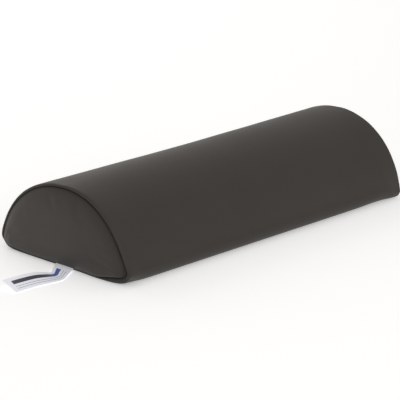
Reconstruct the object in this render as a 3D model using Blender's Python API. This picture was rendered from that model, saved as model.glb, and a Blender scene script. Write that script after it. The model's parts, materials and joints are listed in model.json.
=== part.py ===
"""Half-round bolster pillow: a foam block in a zipped artificial-leather cover. Metres, +Z up.

The bolster lies along X on its flat side. The origin is the centre of the flat base. The label is at
the -X end, and the zip runs along the rear side, at +Y.
"""
import math

import bmesh
import bpy
from mathutils import Matrix, Vector

GAP = 0.0003  # between pieces that touch

# Body
LENGTH = 0.400  # from end seam to end seam
WIDTH = 0.180  # of the base, over its rounded long edges
HEIGHT = 0.082  # from the base to the top of the round
EDGE_RADIUS = 0.010  # of the long bottom edges

# Cover
VINYL = 0.0011  # thickness of the artificial leather
CURL_RADIUS = 0.004  # of the wrap as it turns into the end seam
SEAM_INSET = 0.0045  # from the outer surface to the fold at the rim of an end panel
ALLOWANCE = 0.010  # turned-in sewing allowance, past SEAM_INSET
FOLD_SLIT = 0.0006  # inside the fold of an end panel
CROWN = 0.005  # rise of an end panel above its rim
SHOULDER = 0.013  # width of the rounded band where it rises
PANEL_MIDDLE = 0.036  # inset of the flat middle of an end panel

# Label, folded satin ribbon in the seam
LABEL_WIDTH = 0.024
LABEL_THICKNESS = 0.0005

# Zip: s runs up across the tapes from the middle of the zip, h stands out from the cover
ZIP_LIFT = 0.026  # height of the zip's middle line above the base
SLOT_LENGTH = 0.360  # opening in the wrap, over its round ends
SLOT_MARGIN = 0.0012  # from the slider's side to the edge of the opening
TAPE_WIDTH = 0.0125  # one tape, without its coil
TAPE_THICKNESS = 0.0007
TAPE_TAIL = 0.006  # past each end of the opening
COIL_WIDTH = 0.00215
COIL_THICKNESS = 0.0022
SLIDER_LENGTH = 0.0135
SLIDER_PLATE = 0.0009
SLIDER_FLANGE = 0.00155
WEDGE_WIDTH = 0.001
WEDGE_LENGTH = 0.003
STOP_LENGTH = 0.0035
STOP_PLATE = 0.0008
STOP_GRIP = 0.0012  # how far a stop laps over the tape
STOP_MARGIN = 0.0045  # from a stop's outer face to the end of the opening

# Pull tab, turning on its own bar under the slider's bridge
BAR = 0.0012  # thickness of the tab and its bar
BAR_CLEARANCE = 0.0006  # from the bar's flat to the slider and the bridge
BRIDGE_LENGTH = 0.008
BRIDGE_WIDTH = 0.0024
BRIDGE_THICKNESS = 0.001
TAB_LENGTH = 0.028
TAB_WIDTH = 0.0076
TAB_ARM = 0.0015  # width of each arm beside the bridge
TAB_CORNER = 0.0022  # radius at the free end

ARC_STEPS = 30
CORNER_STEPS = 8
BASE_STEPS = 2
TAPE_STEPS = 6
SMALLEST_CORNER = 0.0005

# The round is tangent to both edge radii and touches HEIGHT.
CORNER_Y = WIDTH / 2 - EDGE_RADIUS
STRAIGHT_RISE = HEIGHT - 2 * EDGE_RADIUS
ARC_RADIUS = EDGE_RADIUS + (CORNER_Y**2 + STRAIGHT_RISE**2) / (2 * STRAIGHT_RISE)
ARC_CENTRE_Z = HEIGHT - ARC_RADIUS
TANGENT_ANGLE = math.atan2(EDGE_RADIUS - ARC_CENTRE_Z, CORNER_Y)  # where the round meets an edge radius

END_X = LENGTH / 2
ALLOWANCE_INSET = SEAM_INSET + ALLOWANCE
SEAM_GAP = LABEL_THICKNESS + 2 * GAP
FOLD_RADIUS = VINYL + FOLD_SLIT / 2
FOLD_X = END_X + SEAM_GAP + FOLD_RADIUS

# Levels of the zip's layers, from the outer surface of the wrap
TAPE_TOP = -VINYL - GAP
TAPE_BOTTOM = TAPE_TOP - TAPE_THICKNESS
COIL_TOP = (TAPE_TOP + TAPE_BOTTOM + COIL_THICKNESS) / 2
COIL_BOTTOM = COIL_TOP - COIL_THICKNESS
SLIDER_TOP = COIL_TOP + GAP + SLIDER_PLATE
SLIDER_BOTTOM = COIL_BOTTOM - GAP - SLIDER_PLATE

# Distances across the zip, from its middle line
COIL_INNER = WEDGE_WIDTH / 2 + GAP
COIL_OUTER = COIL_INNER + COIL_WIDTH
TAPE_INNER = COIL_OUTER + GAP
TAPE_OUTER = TAPE_INNER + TAPE_WIDTH
SLIDER_SIDE = COIL_OUTER + GAP + SLIDER_FLANGE
SLOT_HALF = SLIDER_SIDE + SLOT_MARGIN
STOP_SIDE = TAPE_INNER + STOP_GRIP

# Distances along the zip, from its middle
STOP_OUTER = SLOT_LENGTH / 2 - STOP_MARGIN
STOP_INNER = STOP_OUTER - STOP_LENGTH
COIL_END = STOP_INNER - GAP
TAPE_END = SLOT_LENGTH / 2 + TAPE_TAIL
SLIDER_REST = -STOP_INNER + GAP + SLIDER_LENGTH / 2  # it travels from here to the same place at +X

ZIP_ANGLE = math.asin((ZIP_LIFT - ARC_CENTRE_Z) / ARC_RADIUS)
PIVOT_LEVEL = SLIDER_TOP + BAR / 2 + BAR_CLEARANCE
BRIDGE_TOP = PIVOT_LEVEL + BAR / 2 + BAR_CLEARANCE + BRIDGE_THICKNESS
EYE_LENGTH = math.hypot(BRIDGE_LENGTH / 2, BRIDGE_TOP - PIVOT_LEVEL) + BAR_CLEARANCE

# The label's run: distance out from the seam plane, y, height of its front edge, and its turn and tilt
# in degrees
LABEL_RUN = (
    (LABEL_THICKNESS / 2 + GAP, -0.0020, 0.0120, 0, 0),
    (LABEL_THICKNESS / 2 + GAP, -0.0023, 0.0042, 0, 0),
    (0.0013, -0.0028, 0.0026, 0, 0),
    (0.0060, -0.0058, 0.0023, 0, 0),
    (0.0148, -0.0115, 0.0012, 6, 0),
    (0.0240, -0.0169, 0.0004, 15, 0),
    (0.0358, -0.0164, 0.0004, 21, 7),
    (0.0480, -0.0146, 0.0004, 26, 12.5),
    (0.0645, -0.0134, 0.0004, 18, 14),
    (0.0803, -0.0127, 0.0004, 8, 13.5),
)


def clear_scene():
    for item in list(bpy.data.objects):
        bpy.data.objects.remove(item, do_unlink=True)


def new_collection(name, hidden=False):
    collection = bpy.data.collections.new(name)
    collection.hide_render = hidden
    bpy.context.scene.collection.children.link(collection)
    return collection


def new_material(name, color, roughness, metallic=0.0):
    material = bpy.data.materials.new(name)
    material.use_nodes = True
    shader = material.node_tree.nodes["Principled BSDF"]
    shader.inputs["Base Color"].default_value = (*color, 1)
    shader.inputs["Roughness"].default_value = roughness
    shader.inputs["Metallic"].default_value = metallic
    return material


def add_object(name, bm, collection, material=None, origin=(0, 0, 0)):
    """An object with its origin at the given place, from a bmesh in world coordinates."""
    bmesh.ops.recalc_face_normals(bm, faces=bm.faces)
    bmesh.ops.translate(bm, verts=bm.verts, vec=-Vector(origin))
    mesh = bpy.data.meshes.new(name)
    bm.to_mesh(mesh)
    bm.free()
    item = bpy.data.objects.new(name, mesh)
    item.location = origin
    if material:
        mesh.materials.append(material)
    collection.objects.link(item)
    return item


def add_boolean(item, other, operation):
    modifier = item.modifiers.new(operation.lower() + "_" + other.name, "BOOLEAN")
    modifier.operation = operation
    modifier.solver = "EXACT"
    modifier.object = other
    other.hide_render = True
    other.display_type = "WIRE"


def arc(centre, radius, start, end, steps):
    """Points of an arc from start towards end, in radians, without its last point."""
    angles = [start + (end - start) * step / steps for step in range(steps)]
    return [(centre[0] + radius * math.cos(a), centre[1] + radius * math.sin(a)) for a in angles]


def section(inset):
    """The D section, moved in from the outer surface by inset, as (y, z) points."""
    radius = ARC_RADIUS - inset
    corner = max(EDGE_RADIUS - inset, SMALLEST_CORNER)
    corner_z = inset + corner
    corner_y = math.sqrt((radius - corner) ** 2 - (corner_z - ARC_CENTRE_Z) ** 2)
    tangent = math.atan2(corner_z - ARC_CENTRE_Z, corner_y)
    down = math.pi / 2
    base = [(corner_y * (2 * step / BASE_STEPS - 1), inset) for step in range(BASE_STEPS)]
    right = arc((corner_y, corner_z), corner, -down, tangent, CORNER_STEPS)
    top = arc((0, ARC_CENTRE_Z), radius, tangent, math.pi - tangent, ARC_STEPS)
    left = arc((-corner_y, corner_z), corner, math.pi - tangent, math.pi + down, CORNER_STEPS)
    return base + right + top + left


def skin_rings(bm, rings, closed):
    """Faces between neighbouring rings of points, with a cap at each end unless the run is closed."""
    loops = [[bm.verts.new(point) for point in ring] for ring in rings]
    pairs = list(zip(loops, loops[1:]))
    if closed:
        pairs.append((loops[-1], loops[0]))
    else:
        bm.faces.new(loops[0][::-1])
        bm.faces.new(loops[-1])
    for near, far in pairs:
        for index in range(len(near)):
            after = (index + 1) % len(near)
            bm.faces.new((near[index], near[after], far[after], far[index]))


def loft(stations, closed=False):
    """A bmesh through D sections, each given as (x, inset)."""
    bm = bmesh.new()
    rings = [[(x, y, z) for y, z in section(inset)] for x, inset in stations]
    skin_rings(bm, rings, closed)
    return bm


def both_ends(half):
    """A run of stations from -X to +X, from the half that runs from the middle to +X."""
    return [(-x, inset) for x, inset in reversed(half)] + list(half)


def panel_face(inset):
    """Distance along X of an end panel's outer face."""
    rise = 1 - max(0.0, 1 - (inset - SEAM_INSET) / SHOULDER) ** 2
    return FOLD_X + FOLD_RADIUS + CROWN * rise


def skin_insets():
    """Insets of the rings that give an end panel its crown, from its rim to its middle."""
    band = [SEAM_INSET + SHOULDER * step / 5 for step in range(1, 6)]
    return band + [PANEL_MIDDLE]


def make_foam_core(collection, material):
    outer = VINYL + GAP
    round_radius = CURL_RADIUS - outer
    step_x = END_X - outer
    step_inset = ALLOWANCE_INSET + GAP
    corner = arc((END_X - CURL_RADIUS, CURL_RADIUS), round_radius, -math.pi / 2, 0, 3)
    rises = [inset for inset in skin_insets() if inset > step_inset]
    half = corner + [(step_x, CURL_RADIUS), (step_x, step_inset)]
    half += [(panel_face(inset) - outer, inset) for inset in [step_inset] + rises]
    return add_object("foam_core", loft(both_ends(half)), collection, material)


def make_cover_wrap(collection, material):
    centre = (END_X - CURL_RADIUS, CURL_RADIUS)
    down = -math.pi / 2
    outside = arc(centre, CURL_RADIUS, down, 0, 4) + [(END_X, CURL_RADIUS)]
    inner_x = END_X - VINYL
    inside = [(inner_x, CURL_RADIUS)] + arc(centre, CURL_RADIUS - VINYL, 0, down, 4)[1:]
    inside.append((END_X - CURL_RADIUS, VINYL))
    half = outside + [(END_X, ALLOWANCE_INSET), (inner_x, ALLOWANCE_INSET)] + inside
    stations = half + [(-x, inset) for x, inset in reversed(half)]
    return add_object("cover_wrap", loft(stations, closed=True), collection, material)


def make_end_panel(name, side, collection, material):
    """side is -1 or +1. The run starts at the middle of the inner face and ends at the outer one."""
    insets = skin_insets()
    slit = FOLD_SLIT / 2
    inner = [(panel_face(inset) - VINYL, inset) for inset in reversed(insets)]
    inner_fold = arc((FOLD_X, SEAM_INSET), slit, 0, -math.pi, 2) + [(FOLD_X - slit, SEAM_INSET)]
    turned_in = [(FOLD_X - slit, ALLOWANCE_INSET), (FOLD_X - FOLD_RADIUS, ALLOWANCE_INSET)]
    rim = arc((FOLD_X, SEAM_INSET), FOLD_RADIUS, math.pi, 2 * math.pi, 6)
    outer = [(panel_face(inset), inset) for inset in [SEAM_INSET] + insets]
    stations = [(side * x, inset) for x, inset in inner + inner_fold + turned_in + rim + outer]
    return add_object(name, loft(stations), collection, material)


def zip_point(x, s, h):
    """World place of a point x along the zip, s up the cover from the zip's middle and h out from it.

    Below the round the cover goes on round the long edge and then along the base.
    """
    angle = ZIP_ANGLE + s / ARC_RADIUS
    centre_y, centre_z, radius = 0, ARC_CENTRE_Z, ARC_RADIUS
    if angle < TANGENT_ANGLE:
        angle = TANGENT_ANGLE - (TANGENT_ANGLE - angle) * ARC_RADIUS / EDGE_RADIUS
        centre_y, centre_z, radius = CORNER_Y, EDGE_RADIUS, EDGE_RADIUS
    if angle < -math.pi / 2:
        past_edge = (-math.pi / 2 - angle) * EDGE_RADIUS
        return Vector((x, CORNER_Y - past_edge, -h))
    radius += h
    return Vector((x, centre_y + radius * math.cos(angle), centre_z + radius * math.sin(angle)))


def zip_prism(outline, start_x, end_x):
    """A bmesh of an (s, h) outline drawn along the zip from start_x to end_x."""
    bm = bmesh.new()
    skin_rings(bm, [[zip_point(x, s, h) for s, h in outline] for x in (start_x, end_x)], closed=False)
    return bm


def strip(start_s, end_s, bottom, top, steps=1):
    """The outline of a flat strip that follows the round."""
    across = [start_s + (end_s - start_s) * step / steps for step in range(steps + 1)]
    return [(s, bottom) for s in across] + [(s, top) for s in reversed(across)]


def cut_zip_opening(wrap, foam, cutters):
    """The opening in the wrap, and the hollows that the tapes and the slider press into the foam."""
    above = 0.002
    below = -0.005
    straight = SLOT_LENGTH / 2 - SLOT_HALF
    quarter = math.pi / 2
    outline = arc((straight, 0), SLOT_HALF, -quarter, quarter, 8)
    outline += [(straight, SLOT_HALF), (0, SLOT_HALF)]
    outline += arc((-straight, 0), SLOT_HALF, quarter, 3 * quarter, 8)
    outline += [(-straight, -SLOT_HALF), (0, -SLOT_HALF)]
    bm = bmesh.new()
    skin_rings(bm, [[zip_point(x, s, h) for x, s in outline] for h in (below, above)], closed=False)
    add_boolean(wrap, add_object("slot_cutter", bm, cutters), "DIFFERENCE")

    bed = strip(-TAPE_OUTER - GAP, TAPE_OUTER + GAP, TAPE_BOTTOM - GAP, above, 2 * TAPE_STEPS)
    bed_end = TAPE_END + GAP
    tape_bed = add_object("tape_bed_cutter", zip_prism(bed, -bed_end, bed_end), cutters)
    add_boolean(foam, tape_bed, "DIFFERENCE")

    channel = strip(-SLIDER_SIDE - GAP, SLIDER_SIDE + GAP, SLIDER_BOTTOM - GAP, above, 2)
    channel_end = STOP_OUTER + GAP
    slider_bed = add_object("slider_bed_cutter", zip_prism(channel, -channel_end, channel_end), cutters)
    add_boolean(foam, slider_bed, "DIFFERENCE")


def make_tapes_and_coils(collection, tape_material, coil_material):
    for name, side in (("upper", 1), ("lower", -1)):
        tape = strip(side * TAPE_INNER, side * TAPE_OUTER, TAPE_BOTTOM, TAPE_TOP, TAPE_STEPS)
        add_object("zip_tape_" + name, zip_prism(tape, -TAPE_END, TAPE_END), collection, tape_material)
        coil = strip(side * COIL_INNER, side * COIL_OUTER, COIL_BOTTOM, COIL_TOP)
        add_object("zip_coil_" + name, zip_prism(coil, -COIL_END, COIL_END), collection, coil_material)


def stop_half(side):
    """Half of a stop's section: plates over and under the tape's edge, and a web beside it."""
    top = TAPE_TOP + GAP
    bottom = TAPE_BOTTOM - GAP
    web = TAPE_INNER - GAP
    reach = [(STOP_SIDE, top + STOP_PLATE), (STOP_SIDE, top), (web, top)]
    reach += [(web, bottom), (STOP_SIDE, bottom), (STOP_SIDE, bottom - STOP_PLATE)]
    return [(side * s, h) for s, h in reach]


def make_stops(collection, material):
    for name, side in (("upper", 1), ("lower", -1)):
        half = stop_half(side)
        inner = side * COIL_INNER
        outline = [(inner, half[0][1])] + half + [(inner, half[-1][1])]
        bm = zip_prism(outline, -STOP_OUTER, -STOP_INNER)
        add_object("zip_top_stop_" + name, bm, collection, material)
    outline = stop_half(1) + stop_half(-1)[::-1]
    add_object("zip_bottom_stop", zip_prism(outline, STOP_INNER, STOP_OUTER), collection, material)


def plate(outline, bottom, top):
    """A bmesh of an (x, s) outline between two levels."""
    bm = bmesh.new()
    skin_rings(bm, [[zip_point(x, s, h) for x, s in outline] for h in (bottom, top)], closed=False)
    return bm


def make_slider(collection, cutters, material):
    """Two plates with flanges round the coils, joined by the wedge, and a bridge on top."""
    start = SLIDER_REST - SLIDER_LENGTH / 2
    end = SLIDER_REST + SLIDER_LENGTH / 2
    origin = zip_point(SLIDER_REST, 0, SLIDER_TOP)
    lip = SLIDER_SIDE - SLIDER_FLANGE
    upper_in = SLIDER_TOP - SLIDER_PLATE
    lower_in = SLIDER_BOTTOM + SLIDER_PLATE
    upper_lip = TAPE_TOP + GAP
    lower_lip = TAPE_BOTTOM - GAP
    upper = [(-SLIDER_SIDE, SLIDER_TOP), (-SLIDER_SIDE, upper_lip), (-lip, upper_lip), (-lip, upper_in)]
    upper += [(-s, h) for s, h in reversed(upper)]
    lower = [(-SLIDER_SIDE, SLIDER_BOTTOM), (-SLIDER_SIDE, lower_lip), (-lip, lower_lip), (-lip, lower_in)]
    lower += [(-s, h) for s, h in reversed(lower)]
    slider = add_object("zip_slider_body", zip_prism(upper, start, end), collection, material, origin)
    lower_plate = add_object("slider_lower_plate", zip_prism(lower, start, end), cutters)
    add_boolean(slider, lower_plate, "UNION")

    bury = SLIDER_PLATE / 2
    wedge_outline = strip(-WEDGE_WIDTH / 2, WEDGE_WIDTH / 2, lower_in - bury, upper_in + bury)
    wedge_start = start + GAP
    wedge_prism = zip_prism(wedge_outline, wedge_start, wedge_start + WEDGE_LENGTH)
    add_boolean(slider, add_object("slider_wedge", wedge_prism, cutters), "UNION")

    half = BRIDGE_LENGTH / 2
    inside = half - BRIDGE_THICKNESS
    foot = SLIDER_TOP - bury
    under = BRIDGE_TOP - BRIDGE_THICKNESS
    shape = [(half, foot), (half, under), (inside, BRIDGE_TOP), (-inside, BRIDGE_TOP), (-half, under)]
    shape += [(-half, foot), (-inside, foot), (-inside, under), (inside, under), (inside, foot)]
    bm = bmesh.new()
    rings = []
    for s in (-BRIDGE_WIDTH / 2, BRIDGE_WIDTH / 2):
        rings.append([zip_point(SLIDER_REST + x, s, h) for x, h in shape])
    skin_rings(bm, rings, closed=False)
    add_boolean(slider, add_object("slider_bridge", bm, cutters), "UNION")


def make_pull_tab(collection, cutters, material):
    """A flat tab whose near bar sits under the bridge. Its origin is on the bar's axis."""
    bottom = PIVOT_LEVEL - BAR / 2
    top = PIVOT_LEVEL + BAR / 2
    near = SLIDER_REST - BAR / 2
    far = near + TAB_LENGTH
    eye_half = BRIDGE_WIDTH / 2 + BAR_CLEARANCE
    neck_half = eye_half + TAB_ARM
    eye_near = SLIDER_REST + BAR / 2
    eye_far = SLIDER_REST + EYE_LENGTH
    neck_end = eye_far + TAB_ARM
    origin = zip_point(SLIDER_REST, 0, PIVOT_LEVEL)
    grip_half = TAB_WIDTH / 2
    round_x = far - TAB_CORNER
    quarter = math.pi / 2
    outline = [(near, neck_half), (near, -neck_half), (neck_end, -neck_half)]
    outline.append((neck_end + TAB_ARM, -grip_half))
    outline += arc((round_x, TAB_CORNER - grip_half), TAB_CORNER, -quarter, 0, 4)
    outline += arc((round_x, grip_half - TAB_CORNER), TAB_CORNER, 0, quarter, 4)
    outline += [(round_x, grip_half), (neck_end + TAB_ARM, grip_half), (neck_end, neck_half)]
    tab = add_object("zip_pull_tab", plate(outline, bottom, top), collection, material, origin)
    eye = [(eye_near, -eye_half), (eye_far, -eye_half), (eye_far, eye_half), (eye_near, eye_half)]
    eye_cutter = add_object("tab_eye_cutter", plate(eye, bottom - BAR, top + BAR), cutters)
    add_boolean(tab, eye_cutter, "DIFFERENCE")


def make_label(collection, material):
    """A ribbon that comes out of the bottom seam of the left end, drops and lies along the floor."""
    middles = []
    widths = []
    for out, y, front_z, turn, tilt in LABEL_RUN:
        across = Matrix.Rotation(math.radians(tilt), 3, "X") @ Vector((0, 1, 0))
        across = Matrix.Rotation(-math.radians(turn), 3, "Z") @ across
        half = across * LABEL_WIDTH / 2
        middles.append(Vector((-END_X - out, y, front_z + half.z)))
        widths.append(half)
    rings = []
    for index, (middle, half) in enumerate(zip(middles, widths)):
        before = middles[max(index - 1, 0)]
        after = middles[min(index + 1, len(middles) - 1)]
        up = (after - before).cross(half).normalized() * LABEL_THICKNESS / 2
        front = middle - half
        rear = middle + half
        rings.append([front - up, rear - up, rear + up, front + up])
    bm = bmesh.new()
    skin_rings(bm, rings, closed=False)
    return add_object("side_label", bm, collection, material)


def main():
    clear_scene()
    collection = new_collection("bolster_pillow")
    cutters = new_collection("cutters", hidden=True)

    vinyl = new_material("cover_vinyl", (0.054, 0.048, 0.043), 0.48)
    foam = new_material("foam", (0.80, 0.76, 0.62), 0.9)
    tape = new_material("zip_tape", (0.030, 0.028, 0.026), 0.85)
    coil = new_material("zip_coil", (0.025, 0.024, 0.023), 0.4)
    black_metal = new_material("zip_metal", (0.03, 0.03, 0.03), 0.35, 0.6)
    satin = new_material("label_satin", (0.80, 0.81, 0.88), 0.4)

    foam_core = make_foam_core(collection, foam)
    wrap = make_cover_wrap(collection, vinyl)
    make_end_panel("end_panel_left", -1, collection, vinyl)
    make_end_panel("end_panel_right", 1, collection, vinyl)
    cut_zip_opening(wrap, foam_core, cutters)
    make_tapes_and_coils(collection, tape, coil)
    make_stops(collection, black_metal)
    make_slider(collection, cutters, black_metal)
    make_pull_tab(collection, cutters, black_metal)
    make_label(collection, satin)


main()
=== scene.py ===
import json
import math
import bmesh
import bpy
from mathutils import Matrix, Vector, noise

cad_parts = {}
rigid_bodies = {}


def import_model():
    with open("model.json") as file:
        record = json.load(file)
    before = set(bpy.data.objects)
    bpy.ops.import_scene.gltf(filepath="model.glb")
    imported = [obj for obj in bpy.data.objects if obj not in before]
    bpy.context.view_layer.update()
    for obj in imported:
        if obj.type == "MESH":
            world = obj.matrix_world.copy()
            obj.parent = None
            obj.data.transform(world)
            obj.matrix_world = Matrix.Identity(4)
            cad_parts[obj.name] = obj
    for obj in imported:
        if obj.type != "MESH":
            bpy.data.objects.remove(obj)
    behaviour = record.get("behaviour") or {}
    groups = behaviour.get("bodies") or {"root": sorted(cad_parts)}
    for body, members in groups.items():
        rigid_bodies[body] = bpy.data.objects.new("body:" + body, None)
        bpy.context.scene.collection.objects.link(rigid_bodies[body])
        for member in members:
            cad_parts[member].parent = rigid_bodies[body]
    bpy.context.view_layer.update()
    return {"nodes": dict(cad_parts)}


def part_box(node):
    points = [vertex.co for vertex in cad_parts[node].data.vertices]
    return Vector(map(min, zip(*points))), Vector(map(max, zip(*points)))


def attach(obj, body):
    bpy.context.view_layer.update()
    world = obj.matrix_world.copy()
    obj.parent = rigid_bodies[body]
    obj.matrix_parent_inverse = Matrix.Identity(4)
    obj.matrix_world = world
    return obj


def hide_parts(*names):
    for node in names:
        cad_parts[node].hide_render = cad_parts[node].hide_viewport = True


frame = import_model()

mm = 0.001

# the body of the bolster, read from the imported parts
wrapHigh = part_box("cover_wrap")[1]
bolster = {
    "halfLength": wrapHigh.x,
    "halfWidth": wrapHigh.y,
    "height": wrapHigh.z,
    "edgeRadius": 10 * mm,    # long bottom edges, same as the cut foam
    "edgeEase": 1.0 * mm,     # the vinyl rounds them a little more
    "earRadius": {-1: 8.5 * mm, 1: 6.0 * mm},  # the same edges where they run into the end seams
    "earLength": 26 * mm,
    "pullIn": 1.0 * mm,       # the cover sits a little lower in the middle of its length
    "pullInAngles": (36, 26),  # it starts this far up the side, and is full this much higher
    "frontSwell": (1.9 * mm, 28, 96),  # fuller beside the end seams, between these angles up the side
    "rearSwell": (1.9 * mm, -4, 72),
    "swellLength": 26 * mm,
    # by the signs of x and y: share of the swell, then what a bottom corner loses and is pushed out by
    "swellShare": {(-1, -1): 1.0, (-1, 1): 0.5, (1, -1): 0.6, (1, 1): 0.8},
    "cornerLoss": {(-1, -1): 4.0 * mm, (-1, 1): 2.6 * mm, (1, -1): 0.5 * mm, (1, 1): 1.8 * mm},
    "cornerReach": 12 * mm,
    "earPush": {(-1, -1): 2.6 * mm, (-1, 1): 1.2 * mm, (1, -1): -1.0 * mm, (1, 1): 0.6 * mm},
    "earHeight": 11 * mm,
    "earReach": 13 * mm,
    # amount, where along the length, reach: the front bottom edge lifts beside each corner
    "neck": {-1: (0.7 * mm, 15 * mm, 9 * mm), 1: (0.6 * mm, 38 * mm, 18 * mm)},
    "farEase": (0.9 * mm, 24 * mm, 18 * mm),   # amount, height, reach: the far end gives way here
    "baseSag": (1.4 * mm, -52 * mm, 24 * mm),  # amount, y, reach: the label's end bellies out here
    "unevenness": 0.12 * mm,
    "skin": 0.3 * mm,         # thickness given to the vinyl
}


def deselectAll():
    for item in bpy.context.view_layer.objects:
        item.select_set(False)


def makeActive(item):
    deselectAll()
    item.select_set(True)
    bpy.context.view_layer.objects.active = item


def applyModifier(item, modifier):
    makeActive(item)
    bpy.ops.object.modifier_apply(modifier=modifier.name)


def smooth(t):
    t = min(1.0, max(0.0, t))
    return t * t * (3 - 2 * t)


def meshObject(name, bm):
    mesh = bpy.data.meshes.new(name)
    bmesh.ops.recalc_face_normals(bm, faces=bm.faces)
    bm.to_mesh(mesh)
    bm.free()
    item = bpy.data.objects.new(name, mesh)
    bpy.context.scene.collection.objects.link(item)
    return item


def subdivide(item, levels):
    modifier = item.modifiers.new("smoothSkin", "SUBSURF")
    modifier.levels = levels
    modifier.render_levels = levels
    modifier.boundary_smooth = "PRESERVE_CORNERS"
    applyModifier(item, modifier)


def thicken(item, thickness):
    modifier = item.modifiers.new("wall", "SOLIDIFY")
    modifier.thickness = thickness
    modifier.offset = -1
    applyModifier(item, modifier)


def setSmooth(item, angle=40):
    makeActive(item)
    bpy.ops.object.shade_smooth_by_angle(angle=math.radians(angle))


def placeKey(point):
    return tuple(round(c * 1e6) for c in point)


def matchVerts(fresh, known):
    # {new vertex: what was known of the old vertex that lies at the same place}
    byPlace = {placeKey(vert.co): value for vert, value in known.items()}
    return {vert: byPlace[placeKey(vert.co)] for vert in fresh}


def settle(item):
    makeActive(item)
    bpy.ops.object.transform_apply(location=True, rotation=True, scale=True)


def finishPiece(item, body, material, nodes=()):
    item.data.materials.clear()
    item.data.materials.append(material)
    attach(item, body)
    if nodes:
        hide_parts(*nodes)
    return item


def sectionShape(edgeRadius, inset, corner=None, baseInset=None):
    # centre height, radius, corner centre and the angle where they meet
    flat = bolster["halfWidth"] - edgeRadius
    rise = bolster["height"] - 2 * edgeRadius
    radius = edgeRadius + (flat * flat + rise * rise) / (2 * rise)
    centreZ = bolster["height"] - radius
    radius -= inset
    if corner is None:
        corner = max(edgeRadius - inset, 0.5 * mm)
    cornerZ = (inset if baseInset is None else baseInset) + corner
    cornerY = math.sqrt((radius - corner) ** 2 - (cornerZ - centreZ) ** 2)
    meet = math.atan2(cornerZ - centreZ, cornerY)
    return centreZ, radius, cornerY, cornerZ, corner, meet


midShape = sectionShape(bolster["edgeRadius"], 0)
zipLift = 26 * mm             # height of the zip's middle line on the back
zipAngle = math.asin((zipLift - midShape[0]) / midShape[1])
zipUp = Vector((0, -math.sin(zipAngle), math.cos(zipAngle)))
zipOut = Vector((0, math.cos(zipAngle), math.sin(zipAngle)))


def zipPoint(x, s, h):
    # x along the zip, s round the cover from its middle line, h out from the cover
    angle = zipAngle + s / midShape[1]
    radius = midShape[1] + h
    return Vector((x, radius * math.cos(angle), midShape[0] + radius * math.sin(angle)))


opening = {
    "halfLength": 180 * mm,
    "halfWidth": 6.0 * mm,
    "cornerRadius": 2.4 * mm,
    "hemRise": 0.45 * mm,     # the folded hem lifts the cover beside the zip
    "hemWidth": 8.5 * mm,
    "stitchLine": 2.6 * mm,   # from the folded edge
    "stitchDip": 0.22 * mm,
    "dipWidth": 1.0 * mm,
    "zone": (196 * mm, 17 * mm),  # the cover follows the hem this far along x and round the arc
    # the folded edge, in mm: towards the inside of the opening, and out from the cover
    "fold": ((0.35, -0.12), (0.62, -0.45), (0.55, -0.85), (0.1, -1.15), (-1.6, -1.25)),
}


def openingDistance(x, s):
    # distance outside the zip opening's edge, negative inside it
    radius = opening["cornerRadius"]
    dx = abs(x) - (opening["halfLength"] - radius)
    ds = abs(s) - (opening["halfWidth"] - radius)
    outside = math.hypot(max(dx, 0), max(ds, 0))
    return outside + min(max(dx, ds), 0) - radius


def hemHeight(x, s):
    # how far the cover stands out beside the zip, over its hem, with the dip of the stitch line
    d = openingDistance(x, s)
    if d > 2.2 * opening["hemWidth"]:
        return 0.0
    band = smooth(1 - (d - 0.6 * opening["hemWidth"]) / opening["hemWidth"])
    dip = math.exp(-((d - opening["stitchLine"]) / opening["dipWidth"]) ** 2)
    return opening["hemRise"] * band - opening["stitchDip"] * dip


# mm round the cover from the zip's middle line, where the wrap has a row of points
zipLines = [-12, -10.5, -9.4, -8.6, -7.8, -7, -6.4, -6, -3, 0, 3, 6, 6.4, 7, 7.8, 8.6, 9.4,
            10.5, 12, 14, 16.5]
counts = {"base": 26, "corner": 8, "arc": 58}   # rows of points in each part of the D


def sectionPoints(edgeRadius, inset, atSeam=False):
    # (y, z, angle) round the D, from the base's -Y end, with fixed lines along the zip
    baseInset = inset * seam["baseShare"][1] if atSeam else inset
    centreZ, radius, cornerY, cornerZ, corner, meet = sectionShape(edgeRadius, inset, None, baseInset)
    points = []
    for k in range(counts["base"]):
        y = cornerY * (2 * k / counts["base"] - 1)
        points.append((y, inset * seamShare(y) if atSeam else inset, -math.pi / 2))
    for k in range(counts["corner"]):
        a = -math.pi / 2 + (meet + math.pi / 2) * k / counts["corner"]
        points.append((cornerY + corner * math.cos(a), cornerZ + corner * math.sin(a), a))
    angles = [meet]
    angles += [zipAngle + s * mm / midShape[1] for s in zipLines]
    first, last = angles[-1], math.pi - meet
    angles += [first + (last - first) * k / counts["arc"] for k in range(1, counts["arc"])]
    for a in angles:
        points.append((radius * math.cos(a), centreZ + radius * math.sin(a), a))
    for k in range(counts["corner"]):
        a = math.pi - meet + (math.pi / 2 + meet) * k / counts["corner"]
        points.append((-cornerY + corner * math.cos(a), cornerZ + corner * math.sin(a), a))
    if atSeam:
        points = [(y, z - seamDrop(y, z, inset), a) for y, z, a in points]
    return points


def seamShare(y):
    # height of the bottom seam at y, as a share of its inset inside the round
    low, high = seam["baseShare"]
    return low + (high - low) * smooth((abs(y) - seam["riseFrom"]) / (seam["riseTo"] - seam["riseFrom"]))


def seamDrop(y, z, inset):
    # the bottom seam lies lower at the back corners than at the front ones
    near = smooth((y - seam["riseFrom"]) / (seam["riseTo"] - seam["riseFrom"]))
    above = z - inset * seam["baseShare"][1]
    return seam["rearDrop"] * inset * near * (1 - smooth(above / seam["dropReach"]))


def sideOf(x):
    return -1 if x < 0 else 1


def edgeRadiusAt(x):
    # the long edges tighten a little towards each end seam
    along = (abs(x) - (bolster["halfLength"] - bolster["earLength"])) / bolster["earLength"]
    ear = bolster["earRadius"][sideOf(x)]
    return bolster["edgeRadius"] + (ear - bolster["edgeRadius"]) * smooth(along)


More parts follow.
